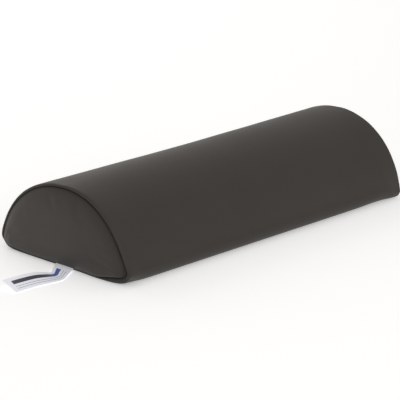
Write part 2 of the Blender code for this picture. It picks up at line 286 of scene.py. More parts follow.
def outward(angle):
    return Vector((0, math.cos(angle), math.sin(angle)))


def softNoise(x, y, z, scale):
    return noise.noise(Vector((x, y, z)) * scale)


def bodyShift(x, y, z, angle):
    # how the stuffed cover leaves the plain D: lower mid-length, fuller by the seams, rounded corners
    end = bolster["halfLength"]
    side = sideOf(x)
    up = math.pi - angle if angle > math.pi / 2 else angle
    fromEnd = max(0.0, end - abs(x))
    move = Vector((0, 0, 0))
    # mid-length
    startAngle, spread = bolster["pullInAngles"]
    high = smooth((up - math.radians(startAngle)) / math.radians(spread))
    move += outward(angle) * -bolster["pullIn"] * (1 - smooth(abs(x) / end)) * high
    # long bottom edges
    if -math.pi / 2 < up < math.radians(20):
        ease = math.sin(math.pi * (up + math.pi / 2) / math.radians(110))
        move -= outward(angle) * bolster["edgeEase"] * ease
    # shoulders
    amount, low, top = bolster["frontSwell" if y < 0 else "rearSwell"]
    share = (math.degrees(up) - low) / (top - low)
    if 0 < share < 1:
        swell = amount * bolster["swellShare"][(side, sideOf(y))] * math.sin(math.pi * share) ** 1.4
        move += outward(angle) * swell * math.exp(-(fromEnd / bolster["swellLength"]) ** 2)
    # bottom corners
    corner = Vector((side * end, sideOf(y) * bolster["halfWidth"], 0))
    away = (Vector((x, y, z)) - corner).length / bolster["cornerReach"]
    loss = bolster["cornerLoss"][(side, sideOf(y))] * math.exp(-away * away)
    move += Vector((-0.5 * side, -0.5 * sideOf(y), 0.72)) * loss
    # the seam's own corner is pushed out sideways by the folded allowances inside it
    away = (Vector((x, y, z)) - corner - Vector((0, 0, bolster["earHeight"]))).length / bolster["earReach"]
    move.y += sideOf(y) * bolster["earPush"][(side, sideOf(y))] * math.exp(-away * away)
    # front bottom edge, beside its two corners
    if y < 0:
        lift, middle, reach = bolster["neck"][side]
        low = math.exp(-(z / (9 * mm)) ** 2) * smooth((-y - 60 * mm) / (20 * mm))
        move.z += lift * low * math.exp(-((fromEnd - middle) / reach) ** 2)
    # far end, low on the front
    if side > 0 and y < 0:
        ease, middle, reach = bolster["farEase"]
        low = math.exp(-((z - middle) / reach) ** 2) * math.exp(-(fromEnd / (12 * mm)) ** 2)
        move.x -= ease * low
    # bottom edge of the label's end
    if side < 0:
        sag, middle, reach = bolster["baseSag"]
        low = math.exp(-(z / (12 * mm)) ** 2) * math.exp(-(fromEnd / (8 * mm)) ** 2)
        move.x -= sag * low * math.exp(-((y - middle) / reach) ** 2)
    return move


seam = {
    "curl": 2.0 * mm,         # radius of the wrap as it turns into the seam
    "turn": 128,              # degrees that it turns through
    "baseShare": (0.5, 2.15),  # height of the bottom seam over its inset, mid-width and at the corners
    "riseFrom": 42 * mm,      # the bottom seam rises between these distances from the middle
    "riseTo": 82 * mm,
    "rearDrop": 1.1,          # lower at the back corners, by this share of the inset
    "dropReach": 25 * mm,
    "rim": 3.5 * mm,          # inset of the end panel's rim
    "gap": 0.1 * mm,
    "pitch": 4.2 * mm,        # from one stitch to the next, seen only as a faint ripple
    "ripple": 0.10 * mm,
    "pucker": 0.25 * mm,      # slow unevenness along the seams
    "shadeDepth": 0.8 * mm,    # painted shade: the vinyl is darker this near to the seam
}


def wrapStations():
    # (x, inset) from the -X seam to the +X seam
    end = bolster["halfLength"]
    curl = seam["curl"]
    half = []
    for k in range(0, 175, 6):
        half.append((k * mm, 0.0))
    # closer together round the zip's end, and on to the seam
    half += [(x * mm, 0.0) for x in (176.2, 177.6, 178.8, 180, 182, 184.5, 187, 189.5, 192, 194.4, 195.8)]
    steps = 9
    for k in range(steps):
        a = math.radians(seam["turn"]) * k / (steps - 1)
        half.append((end - curl + curl * math.sin(a), curl - curl * math.cos(a)))
    half.append((half[-1][0] - 2 * mm, half[-1][1] + 0.5 * mm))
    return [(-x, inset) for x, inset in reversed(half[1:])] + half


def inOpening(x, s):
    slack = 0.01 * mm
    return abs(x) < opening["halfLength"] + slack and abs(s) < opening["halfWidth"] + slack


def makeWrap():
    print("cover wrap")
    bm = bmesh.new()
    shade = bm.verts.layers.float.new("seamShade")
    rings = []
    where = {}
    for x, inset in wrapStations():
        ring = []
        # painted shade in the seam groove: 1 inside the seam, fading out from the groove
        groove = math.hypot(bolster["halfLength"] - abs(x), seam["rim"] - inset)
        paintedShade = 1.0 if inset > seam["rim"] else min(1.0, math.exp(1 - groove / seam["shadeDepth"]))
        for y, z, a in sectionPoints(edgeRadiusAt(x), inset, True):
            point = Vector((x, y, z)) + bodyShift(x, y, z, a)
            uneven = bolster["unevenness"] * softNoise(x, y, z, 22) * smooth(z / (20 * mm))
            point += outward(a) * uneven
            s = (a - zipAngle) * midShape[1]
            nearZip = abs(x) < opening["zone"][0] and abs(s) < opening["zone"][1] and inset == 0
            if nearZip:
                point += outward(a) * hemHeight(x, s)
            vert = bm.verts.new(point)
            vert[shade] = paintedShade
            if nearZip:
                where[vert] = (x, s)
            ring.append(vert)
        rings.append(ring)
    for near, far in zip(rings, rings[1:]):
        for k in range(len(near)):
            after = (k + 1) % len(near)
            face = bm.faces.new((near[k], near[after], far[after], far[k]))
            if all(v in where and inOpening(*where[v]) for v in face.verts):
                face.select_set(True)
    bmesh.ops.delete(bm, geom=[f for f in bm.faces if f.select], context="FACES")
    foldOpening(bm, where)
    item = meshObject("coverWrap", bm)
    subdivide(item, 1)
    rippleSeams(item)
    thicken(item, bolster["skin"])
    setSmooth(item, 60)
    return item


def inwardStep(x, s):
    # direction in (x, s) from the opening's edge towards its inside
    step = 0.05 * mm
    dx = openingDistance(x + step, s) - openingDistance(x - step, s)
    ds = openingDistance(x, s + step) - openingDistance(x, s - step)
    size = math.hypot(dx, ds) or 1
    return -dx / size, -ds / size


def foldOpening(bm, where):
    # turns the vinyl under along the zip opening
    edge = [e for e in bm.edges if e.is_boundary and all(v in where for v in e.verts)]
    rim = {v for e in edge for v in e.verts}
    places = {}
    for vert in rim:
        x, s = where[vert]
        dx, ds = inwardStep(x, s)
        back = openingDistance(x, s)
        places[vert] = (x + dx * back, s + ds * back, dx, ds)
        vert.co = zipPoint(x + dx * back, s + ds * back, hemHeight(x, s))
    for inside, level in opening["fold"]:
        made = bmesh.ops.extrude_edge_only(bm, edges=edge)
        newEdges = [g for g in made["geom"] if isinstance(g, bmesh.types.BMEdge)]
        newVerts = [g for g in made["geom"] if isinstance(g, bmesh.types.BMVert)]
        newPlaces = matchVerts(newVerts, places)
        for vert, (x, s, dx, ds) in newPlaces.items():
            lift = opening["hemRise"] * max(0, 1 + level * 0.9)
            vert.co = zipPoint(x + dx * inside * mm, s + ds * inside * mm, level * mm + lift)
        places = newPlaces
        edge = newEdges


def seamDistance(point):
    # distance from the end seam's plane
    return bolster["halfLength"] - abs(point.x)


def sectionTravel(point):
    # distance round the arc, used for what repeats along a seam
    angle = math.atan2(point.z - midShape[0], point.y)
    return angle * midShape[1] if point.z > 6 * mm else point.y


def rippleSeams(item):
    # each stitch pulls the vinyl in a little beside the end seams
    normals = [vert.normal.copy() for vert in item.data.vertices]
    for vert, normal in zip(item.data.vertices, normals):
        d = seamDistance(vert.co)
        if d > 16 * mm or vert.co.z < 2 * mm:
            continue
        travel = sectionTravel(vert.co)
        slow = softNoise(travel, d, vert.co.x, 60)
        wave = math.cos(2 * math.pi * travel / seam["pitch"]) * math.exp(-d / (3.2 * mm))
        pull = seam["ripple"] * wave * (0.7 + slow)
        pull += seam["pucker"] * slow * math.exp(-d / (7 * mm))
        vert.co += normal * pull


panel = {
    "crown": 7.4 * mm,        # how far the middle stands out past the rim
    "cutShare": 0.72,         # the sheet starts with this share of its crown, and the air does the rest
    "shoulder": 16 * mm,      # it rises over this distance from the round seam
    "power": 2.2,
    "baseShoulder": 15 * mm,  # and over this one from the bottom seam, more steeply
    "grid": (60, 20),
    "pressure": 4.0,
    "frames": 20,
    "cap": 3.0 * mm,          # furthest that the air may move a point
    # the rim goes down into the seam, in mm: along X, and outwards
    "fold": ((-0.55, 0.05), (-1.3, 0.35), (-2.6, 1.1)),
    "ripple": 0.06 * mm,
    "unevenness": 0.12 * mm,
    # painted shade: the panel is darker this near to the seam
    "shadeDepth": 0.9 * mm,
    "middle": 36 * mm,        # the rim turns down away from this height
}


def crown(y, z, side):
    # share of the crown reached at (y, z), smooth right across the D
    centreZ, radius = sectionShape(bolster["earRadius"][side], seam["rim"])[:2]
    fromArc = radius - math.hypot(y, z - centreZ)
    seamZ = seam["rim"] * seamShare(y)
    fromBase = z - seamZ + seamDrop(y, seamZ, seam["rim"])
    rise = 1 - max(0.0, 1 - max(0.0, fromArc) / panel["shoulder"]) ** panel["power"]
    return rise * math.sqrt(1 - max(0.0, 1 - max(0.0, fromBase) / panel["baseShoulder"]) ** 2)


def blowOut(item, pinned):
    # cloth simulation: air pressure behind the sheet, held at its rim
    group = item.vertex_groups.new(name="rim")
    group.add(pinned, 1.0, "REPLACE")
    before = [v.co.copy() for v in item.data.vertices]
    modifier = item.modifiers.new("blow", "CLOTH")
    cloth = modifier.settings
    cloth.quality = 5
    cloth.mass = 0.3
    cloth.use_pressure = True
    cloth.uniform_pressure_force = panel["pressure"]
    cloth.vertex_group_mass = "rim"
    cloth.effector_weights.gravity = 0
    modifier.collision_settings.use_collision = False
    modifier.point_cache.frame_start = 1
    modifier.point_cache.frame_end = panel["frames"]
    for frameNumber in range(1, panel["frames"] + 1):
        bpy.context.scene.frame_set(frameNumber)
    applyModifier(item, modifier)
    bpy.context.scene.frame_set(1)
    most = 0
    for vert, start in zip(item.data.vertices, before):
        move = vert.co - start
        most = max(most, move.length)
        if move.length > panel["cap"]:
            vert.co = start + move * (panel["cap"] / move.length)
    print("  the air moved it by up to", round(most * 1000, 2), "mm")


def panelOutline(side, columns, rows):
    # the rim as four sides: base, +Y corner, arc (both from -Y to +Y) and -Y corner
    ear = bolster["earRadius"][side]
    rim = seam["rim"]
    shape = sectionShape(ear, rim, max(ear - rim, 0.5 * mm), rim * seam["baseShare"][1])
    centreZ, radius, cornerY, cornerZ, corner, meet = shape
    x = side * (bolster["halfLength"] + seam["gap"])

    def place(y, z, angle):
        z -= seamDrop(y, z, rim)
        return Vector((x, y, z)) + bodyShift(x, y, z, angle)

    base = []
    for k in range(columns + 1):
        y = cornerY * (2 * k / columns - 1)
        base.append(place(y, rim * seamShare(y), -math.pi / 2))
    right, left = [], []
    for k in range(rows + 1):
        a = -math.pi / 2 + (meet + math.pi / 2) * k / rows
        y, z = corner * math.cos(a), cornerZ + corner * math.sin(a)
        right.append(place(cornerY + y, z, a))
        left.append(place(-cornerY - y, z, math.pi - a))
    arc = []
    for k in range(columns + 1):
        a = math.pi - meet - (math.pi - 2 * meet) * k / columns
        arc.append(place(radius * math.cos(a), centreZ + radius * math.sin(a), a))
    return base, right, arc, left


def makePanel(name, side):
    # a D panel blown out by the foam behind it, side is -1 or 1
    print("end panel", side)
    start = side * (bolster["halfLength"] + seam["gap"])
    columns, rows = panel["grid"]
    base, right, arc, left = panelOutline(side, columns, rows)
    bm = bmesh.new()
    grid = []
    for j in range(rows + 1):
        v = j / rows
        line = []
        for k in range(columns + 1):
            u = k / columns
            sides = base[k] * (1 - v) + arc[k] * v + left[j] * (1 - u) + right[j] * u
            low = base[0] * (1 - u) + base[-1] * u
            high = arc[0] * (1 - u) + arc[-1] * u
            point = sides - low * (1 - v) - high * v
            point.x += side * panel["crown"] * panel["cutShare"] * crown(point.y, point.z, side)
            line.append(bm.verts.new(point))
        grid.append(line)
    for near, far in zip(grid, grid[1:]):
        for k in range(columns):
            bm.faces.new((near[k], near[k + 1], far[k + 1], far[k]))
    item = meshObject(name, bm)
    turnOut(item, side)
    rim = [v.index for v in item.data.vertices
           if v.index % (columns + 1) in (0, columns) or v.index // (columns + 1) in (0, rows)]
    blowOut(item, rim)
    peak = max(side * (v.co.x - start) for v in item.data.vertices)
    print("  stands out", round(peak * 1000, 2), "mm")
    for vert in item.data.vertices:
        vert.co.x = start + (vert.co.x - start) * panel["crown"] / peak
    foldRim(item, start, side)
    subdivide(item, 2)
    outer = abs(start)
    seamShadeLayer = item.data.attributes.new("seamShade", "FLOAT", "POINT")
    for k, vert in enumerate(item.data.vertices):
        travel = sectionTravel(vert.co)
        d = max(0.0, abs(vert.co.x) - outer)
        wave = math.cos(2 * math.pi * travel / seam["pitch"]) * math.exp(-d / (1.2 * mm))
        uneven = panel["unevenness"] * softNoise(vert.co.y, vert.co.z, 3 * side, 30)
        vert.co.x += side * (panel["ripple"] * wave + uneven)
        # painted shade on the rim where it turns down into the seam
        height = max(0.0, abs(vert.co.x) - outer + 0.1 * mm)
        seamShadeLayer.data[k].value = math.exp(-height / panel["shadeDepth"])
    thicken(item, bolster["skin"])
    setSmooth(item, 60)
    return item


def turnOut(item, side):
    # an end panel's faces look along -X or +X
    outermost = max(item.data.polygons, key=lambda f: abs(f.center.x))
    if side * outermost.normal.x < 0:
        item.data.flip_normals()


def foldRim(item, start, side):
    # adds the rim's turn down into the seam, outside the blown sheet's first ring
    bm = bmesh.new()
    bm.from_mesh(item.data)
    bm.verts.ensure_lookup_table()
    edges = [e for e in bm.edges if e.is_boundary]
    source = {v: v.co.copy() for e in edges for v in e.verts}
    centre = Vector((start, 0, panel["middle"]))
    for x, inset in panel["fold"]:
        made = bmesh.ops.extrude_edge_only(bm, edges=edges)
        edges = [g for g in made["geom"] if isinstance(g, bmesh.types.BMEdge)]
        fresh = matchVerts([g for g in made["geom"] if isinstance(g, bmesh.types.BMVert)], source)
        for vert, place in fresh.items():
            away = (place - centre).normalized()
            vert.co = place + away * inset * mm + Vector((side * x * mm, 0, 0))
        source = fresh
    bmesh.ops.recalc_face_normals(bm, faces=bm.faces)
    bm.to_mesh(item.data)
    bm.free()
    turnOut(item, side)


foamCut = {
    "inset": 3.2 * mm,        # from the cover all round
    "endGap": 9 * mm,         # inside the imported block's ends
}


def makeFoam():
    print("foam core")
    inset = foamCut["inset"]
    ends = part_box("foam_core")[1].x - foamCut["endGap"]
    bm = bmesh.new()
    rings = []
    stations = [(-ends, inset + 3 * mm), (-ends + 0.9 * mm, inset + 0.9 * mm), (-ends + 3 * mm, inset)]
    stations += [(x * mm, inset) for x in range(-180, 181, 20)]
    stations += [(-x, i) for x, i in reversed(stations[:3])]
    for x, i in stations:
        ring = []
        for y, z, a in sectionPoints(bolster["edgeRadius"], i):
            move = bodyShift(x, y, z, a)
            inwards = min(0, move.y * y) / y if y else 0
            ring.append(bm.verts.new((x, y + inwards, z + min(0, move.z))))
        rings.append(ring)
    for near, far in zip(rings, rings[1:]):
        for k in range(len(near)):
            after = (k + 1) % len(near)
            bm.faces.new((near[k], near[after], far[after], far[k]))
    bm.faces.new(rings[0][::-1])
    bm.faces.new(rings[-1])
    item = meshObject("foamBlock", bm)
    setSmooth(item, 50)
    return item


zipParts = {
    "coilEnd": 171 * mm,
    "pitch": 1.35 * mm,
    "wire": 0.30 * mm,        # radius of the nylon filament
    "coilTop": -0.65 * mm,
    "coilBottom": -2.85 * mm,
    "coilOuter": 2.95 * mm,
    "overlap": 0.55 * mm,     # how far each coil's heads reach past the middle
}


def makeCoil(name, side):
    # one nylon coil: a flattened helix whose heads lock between those of the other coil
    print("zip coil", name)
    turns = int(2 * zipParts["coilEnd"] / zipParts["pitch"]) - 1
    steps = 8
    wire = zipParts["wire"]
    inner = -zipParts["overlap"]
    outer = zipParts["coilOuter"] - wire
    top = zipParts["coilTop"] - wire
    bottom = zipParts["coilBottom"] + wire
    middle = (inner + outer) / 2
    reach = (outer - inner) / 2
    level = (top + bottom) / 2
    depth = (top - bottom) / 2
    shift = 0 if side > 0 else zipParts["pitch"] / 2
    curve = bpy.data.curves.new(name, "CURVE")
    curve.dimensions = "3D"
    curve.bevel_depth = wire
    curve.bevel_resolution = 0
    curve.use_fill_caps = True
    spline = curve.splines.new("POLY")
    spline.points.add(turns * steps - 1)
    for k in range(turns * steps):
        a = 2 * math.pi * k / steps
        x = -zipParts["coilEnd"] + 0.6 * mm + shift + zipParts["pitch"] * k / steps
        s = side * (middle - reach * math.cos(a))
        h = level + depth * math.sin(a)
        spline.points[k].co = (*zipPoint(x, s, h), 1)
    item = bpy.data.objects.new(name, curve)
    bpy.context.scene.collection.objects.link(item)
    makeActive(item)
    bpy.ops.object.convert(target="MESH")
    item = bpy.context.view_layer.objects.active
    makeActive(item)
    bpy.ops.object.mode_set(mode="EDIT")
    bpy.ops.mesh.select_all(action="SELECT")
    bpy.ops.mesh.remove_doubles(threshold=0.00001)
    bpy.ops.mesh.normals_make_consistent(inside=False)
    bpy.ops.object.mode_set(mode="OBJECT")
    setSmooth(item, 80)
    return item


tapeEdge = {
    "halfLength": 184 * mm,
    "inner": 0.04 * mm,       # the two woven edges meet in the middle, under the coils
    "outer": 3.3 * mm,
    "bottom": -3.14 * mm,
    "top": -2.92 * mm,
    "step": 4 * mm,
}


def makeTapeEdges():
    # the coils are sewn on these, and they hide the foam
    print("zip tape edges")
    bm = bmesh.new()
    stations = int(2 * tapeEdge["halfLength"] / tapeEdge["step"])
    inner, outer = tapeEdge["inner"], tapeEdge["outer"]
    bottom, top = tapeEdge["bottom"], tapeEdge["top"]
    corners = [(inner, bottom), (outer, bottom), (outer, top), (inner, top)]
    for side in (-1, 1):
        rings = []
        for k in range(stations + 1):
            x = tapeEdge["halfLength"] * (2 * k / stations - 1)
            rings.append([bm.verts.new(zipPoint(x, side * s, h)) for s, h in corners])
        for near, far in zip(rings, rings[1:]):
            for k in range(4):
                bm.faces.new((near[k], near[k - 1], far[k - 1], far[k]))
        bm.faces.new(rings[0])
        bm.faces.new(rings[-1])
    bmesh.ops.recalc_face_normals(bm, faces=bm.faces)
    item = meshObject("zipTapeEdges", bm)
    setSmooth(item, 40)
    return item


sliderLow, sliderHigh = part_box("zip_slider_body")
sliderX = (sliderLow.x + sliderHigh.x) / 2  # where it stands with the zip closed
slider = {
    "length": 13.5 * mm,
    "width": 9.6 * mm,
    "taper": 0.84,            # width of its closing end over that of its opening end
    "plate": 0.9 * mm,
    "corner": 1.9 * mm,
    "top": 0.55 * mm,         # outer face of the upper plate above the cover
    "bottom": -4.05 * mm,
    "lipTop": -1.1 * mm,      # the tapes pass between these two levels
    "lipBottom": -2.4 * mm,
    "flange": 1.1 * mm,
    "divider": (1.4 * mm, 0.8 * mm, 3.0 * mm),
    "bridgeRadius": 3.35 * mm,
    "bridgeWire": 0.62 * mm,
    "bridgeTop": 3.95 * mm,
    "pivot": 1.75 * mm,
    "edge": 0.28 * mm,
}


def toZip(item):
    # moves a piece built round the world origin, X along and Z out, to the slider's place on the cover
    place = Matrix((
        (1, 0, 0, sliderX),
        (0, -zipUp.y, zipOut.y, zipPoint(0, 0, 0).y),
        (0, -zipUp.z, zipOut.z, zipPoint(0, 0, 0).z),
        (0, 0, 0, 1),
    ))
    item.data.transform(place)
    item.data.update()


def addBox(name, size, centre):
    deselectAll()
    bpy.ops.mesh.primitive_cube_add(size=1, location=centre)
    item = bpy.context.view_layer.objects.active
    item.name = name
    item.scale = size
    settle(item)
    return item


def editSelect(item, wanted, kind="VERT"):
    # opens edit mode with only the vertices, edges or faces that wanted() accepts selected
    makeActive(item)
    bpy.ops.object.mode_set(mode="EDIT")
    bpy.ops.mesh.select_mode(type=kind)
    bpy.ops.mesh.select_all(action="DESELECT")
    bm = bmesh.from_edit_mesh(item.data)
    elements = {"VERT": bm.verts, "EDGE": bm.edges, "FACE": bm.faces}[kind]
    for element in elements:
        if wanted(element):
            element.select_set(True)
    bm.select_flush_mode()
    bmesh.update_edit_mesh(item.data)


def leaveEdit():
    bpy.ops.object.mode_set(mode="OBJECT")


def bevelAll(item, width, segments, angle=35):
    modifier = item.modifiers.new("softEdges", "BEVEL")
    modifier.width = width
    modifier.segments = segments
    modifier.limit_method = "ANGLE"
    modifier.angle_limit = math.radians(angle)
    modifier.use_clamp_overlap = True
    applyModifier(item, modifier)


def joinPieces(pieces, name):
    deselectAll()
    for piece in pieces:
        piece.select_set(True)
    bpy.context.view_layer.objects.active = pieces[0]
    bpy.ops.object.join()
    item = bpy.context.view_layer.objects.active
    item.name = name
    item.data.name = name
    return item


def isUpright(edge):
    a, b = edge.verts
    return abs(a.co.x - b.co.x) < 1e-6 and abs(a.co.y - b.co.y) < 1e-6


def makeSlider():
    print("zip slider")
    length, width, plate = slider["length"], slider["width"], slider["plate"]
    pieces = []
    for level, lip, side in (
        (slider["top"] - plate / 2, slider["lipTop"], 1),
        (slider["bottom"] + plate / 2, slider["lipBottom"], -1),
    ):
        body = addBox("plate", (length, width, plate), (0, 0, level))
        editSelect(body, lambda v: v.co.x > 0)
        bpy.ops.transform.resize(value=(1, slider["taper"], 1), center_override=(0, 0, level))
        leaveEdit()
        editSelect(body, isUpright, "EDGE")
        bpy.ops.mesh.bevel(offset=slider["corner"], segments=5, affect="EDGES")
        leaveEdit()
        bevelAll(body, slider["edge"], 2)
        pieces.append(body)
        outerFace = level + side * plate / 2
        flange = slider["flange"]
        for hand in (-1, 1):
            tall = abs(outerFace - lip) - plate * 0.4
            centre = (0.2 * mm, hand * (width * 0.46 - flange / 2), lip + side * tall / 2)
            wall = addBox("flange", (length * 0.72, flange, tall), centre)
            editSelect(wall, lambda v: v.co.x > 0)
            bpy.ops.transform.translate(value=(0, -hand * 0.3 * mm, 0))
            leaveEdit()
            bevelAll(wall, 0.3 * mm, 2)
            pieces.append(wall)
    middle = (slider["top"] + slider["bottom"]) / 2
    divider = addBox("divider", slider["divider"], (-length / 2 + 1.0 * mm, 0, middle))
    bevelAll(divider, 0.2 * mm, 2)
    pieces.append(divider)
    deselectAll()
    bpy.ops.mesh.primitive_torus_add(
        location=(0, 0, slider["top"]), rotation=(math.pi / 2, 0, 0), major_segments=36, minor_segments=12,
        major_radius=slider["bridgeRadius"], minor_radius=slider["bridgeWire"])
    arch = bpy.context.view_layer.objects.active
    arch.scale = (1.0, 1.0, 1.7)
    settle(arch)
    editSelect(arch, lambda v: True)
    bpy.ops.mesh.bisect(plane_co=(0, 0, slider["top"] - 0.3 * mm), plane_no=(0, 0, 1),
                        use_fill=True, clear_inner=True)
    leaveEdit()
    editSelect(arch, lambda v: v.co.z > slider["top"] - 0.31 * mm)
    squeeze = (slider["bridgeTop"] - slider["top"]) / (slider["bridgeRadius"] + slider["bridgeWire"])
    bpy.ops.transform.resize(value=(1, 1, squeeze), center_override=(0, 0, slider["top"] - 0.3 * mm))
    leaveEdit()
    pieces.append(arch)
    item = joinPieces(pieces, "zipSlider")
    toZip(item)
    setSmooth(item, 40)
    return item


tab = {
    "length": 28 * mm,
    "width": 7.6 * mm,
    "neck": 6.6 * mm,         # width round the eye
    "thick": 1.2 * mm,
    "eye": (4.5 * mm, 3.6 * mm),
    "eyeMiddle": 2.85 * mm,
    "cuts": (0.9 * mm, 6.6 * mm, 8.4 * mm, 11 * mm),
    "farCorner": 2.6 * mm,
    "nearCorner": 1.1 * mm,
    "border": 1.3 * mm,       # raised rim round each sunk face
    "sunk": 0.22 * mm,
}


def makePullTab():
    print("zip pull tab")
    near = -0.6 * mm
    centre = (near + tab["length"] / 2, 0, slider["pivot"])
    item = addBox("zipPullTab", (tab["length"], tab["width"], tab["thick"]), centre)
    for cut in tab["cuts"]:
        editSelect(item, lambda v: True)
        bpy.ops.mesh.bisect(plane_co=(cut, 0, 0), plane_no=(1, 0, 0))
        leaveEdit()
    editSelect(item, lambda v: v.co.x < 7 * mm)
    bpy.ops.transform.resize(value=(1, tab["neck"] / tab["width"], 1), center_override=centre)
    leaveEdit()
    far = near + tab["length"]
    editSelect(item, lambda e: isUpright(e) and e.verts[0].co.x > far - 0.1 * mm, "EDGE")
    bpy.ops.mesh.bevel(offset=tab["farCorner"], segments=7, affect="EDGES")
    leaveEdit()
    editSelect(item, lambda e: isUpright(e) and e.verts[0].co.x < near + 0.1 * mm, "EDGE")
    bpy.ops.mesh.bevel(offset=tab["nearCorner"], segments=4, affect="EDGES")
    leaveEdit()
    top = slider["pivot"] + tab["thick"] / 2
    for level in (-1, 1):
        face = lambda f: f.normal.z * level > 0.9 and f.calc_center_median().x > tab["cuts"][-1]
        editSelect(item, face, "FACE")
        bpy.ops.mesh.inset(thickness=tab["border"], depth=0)
        bpy.ops.mesh.inset(thickness=0.35 * mm, depth=-tab["sunk"])
        leaveEdit()
    hole = addBox("eyeCutter", (*tab["eye"], 6 * mm), (tab["eyeMiddle"], 0, top))
    editSelect(hole, isUpright, "EDGE")
    bpy.ops.mesh.bevel(offset=1.0 * mm, segments=4, affect="EDGES")
    leaveEdit()
    modifier = item.modifiers.new("eye", "BOOLEAN")
    modifier.operation = "DIFFERENCE"
    modifier.object = hole
    applyModifier(item, modifier)
    bpy.data.objects.remove(hole)
    bevelAll(item, 0.22 * mm, 2, 50)
    toZip(item)
    setSmooth(item, 35)
    return item


stitch = {
    "halfSize": (1.45 * mm, 0.24 * mm, 0.2 * mm),
    "pitch": 3.5 * mm,
    "lift": 0.06 * mm,
    "wobble": 4,              # degrees that a stitch may lie off its row
}


def stitchTemplate():
    # one stitch of thread, a low capsule along X
    deselectAll()
    bpy.ops.mesh.primitive_uv_sphere_add(segments=8, ring_count=6, radius=1, rotation=(0, math.pi / 2, 0))
    item = bpy.context.view_layer.objects.active
    settle(item)
    item.scale = stitch["halfSize"]
    settle(item)
    return item


def makeZipStitching():
    # two rows along the zip and a short one across each end
    print("zip stitching")
    pattern = stitchTemplate()
    line = opening["halfWidth"] + opening["stitchLine"]
    endX = opening["halfLength"] + opening["stitchLine"]
    places = []
    count = int(2 * endX / stitch["pitch"])
    for row in (-1, 1):
        for k in range(count):
            places.append((-endX + (k + 0.5) * 2 * endX / count, row * line, 0.0))
    across = int(2 * line / stitch["pitch"])
    for end in (-1, 1):
        for k in range(across):
            places.append((end * endX, -line + (k + 0.5) * 2 * line / across, math.pi / 2))
    bm = bmesh.new()
    for number, (x, s, turn) in enumerate(places):
        wobble = math.radians(stitch["wobble"]) * math.sin(number * 2.4)
        base = zipPoint(x, s, hemHeight(x, s) + stitch["lift"])
        angle = zipAngle + s / midShape[1]
        out = outward(angle)
        up = Vector((0, -math.sin(angle), math.cos(angle)))
        along = Vector((1, 0, 0)) * math.cos(turn + wobble) + up * math.sin(turn + wobble)
        side = out.cross(along)
        place = Matrix((along, side, out)).transposed().to_4x4()
        place.translation = base
        copied = pattern.data.copy()
        copied.transform(place)
        bm.from_mesh(copied)
        bpy.data.meshes.remove(copied)
    bpy.data.objects.remove(pattern)
    item = meshObject("zipStitching", bm)
    setSmooth(item, 80)
    return item


label = {
    "width": 24 * mm,
    "layer": 0.22 * mm,       # thickness of the ribbon
    "upper": 0.24 * mm,       # how far its two layers lie off the route
    "lower": -0.06 * mm,
    "step": 1.5 * mm,
    "columns": 20,
    "tucked": 8,              # rows down inside the seam
    # distance out from the seam, y, height of the front edge, turn and tilt in degrees
    "run": (
        (-2.6, -1.0, 3.4, 0, 0), (-0.6, -1.9, 1.9, 0, 0), (1.6, -2.9, 1.5, 0, 0), (6.0, -5.8, 1.4, 0, 0),
        (14.8, -11.5, 1.0, 6, 0), (24.0, -16.9, 0.5, 15, 0), (35.8, -16.4, 0.5, 21, 7),
        (48.0, -14.6, 0.5, 26, 12.5), (64.5, -13.4, 0.5, 18, 14), (80.3, -12.7, 0.5, 8, 13.5),
    ),
}


def blend(a, b, c, d, t):
    # a smooth curve from b to c that heads for their neighbours a and d
    bend = 2 * a - 5 * b + 4 * c - d
    twist = 3 * b - a - 3 * c + d
    return 0.5 * (2 * b + (c - a) * t + bend * t * t + twist * t ** 3)


def smoothRun(points, step):
    # points on a smooth curve through the given ones, about a step apart
    result = []
    last = len(points) - 1
    for k in range(last):
        p0, p1, p2, p3 = points[max(k - 1, 0)], points[k], points[k + 1], points[min(k + 2, last)]
        span = math.dist(p1[:3], p2[:3])
        pieces = max(2, int(span / step))
        for j in range(pieces):
            t = j / pieces
            result.append([blend(a, b, c, d, t) for a, b, c, d in zip(p0, p1, p2, p3)])
    result.append(list(points[last]))
    return result


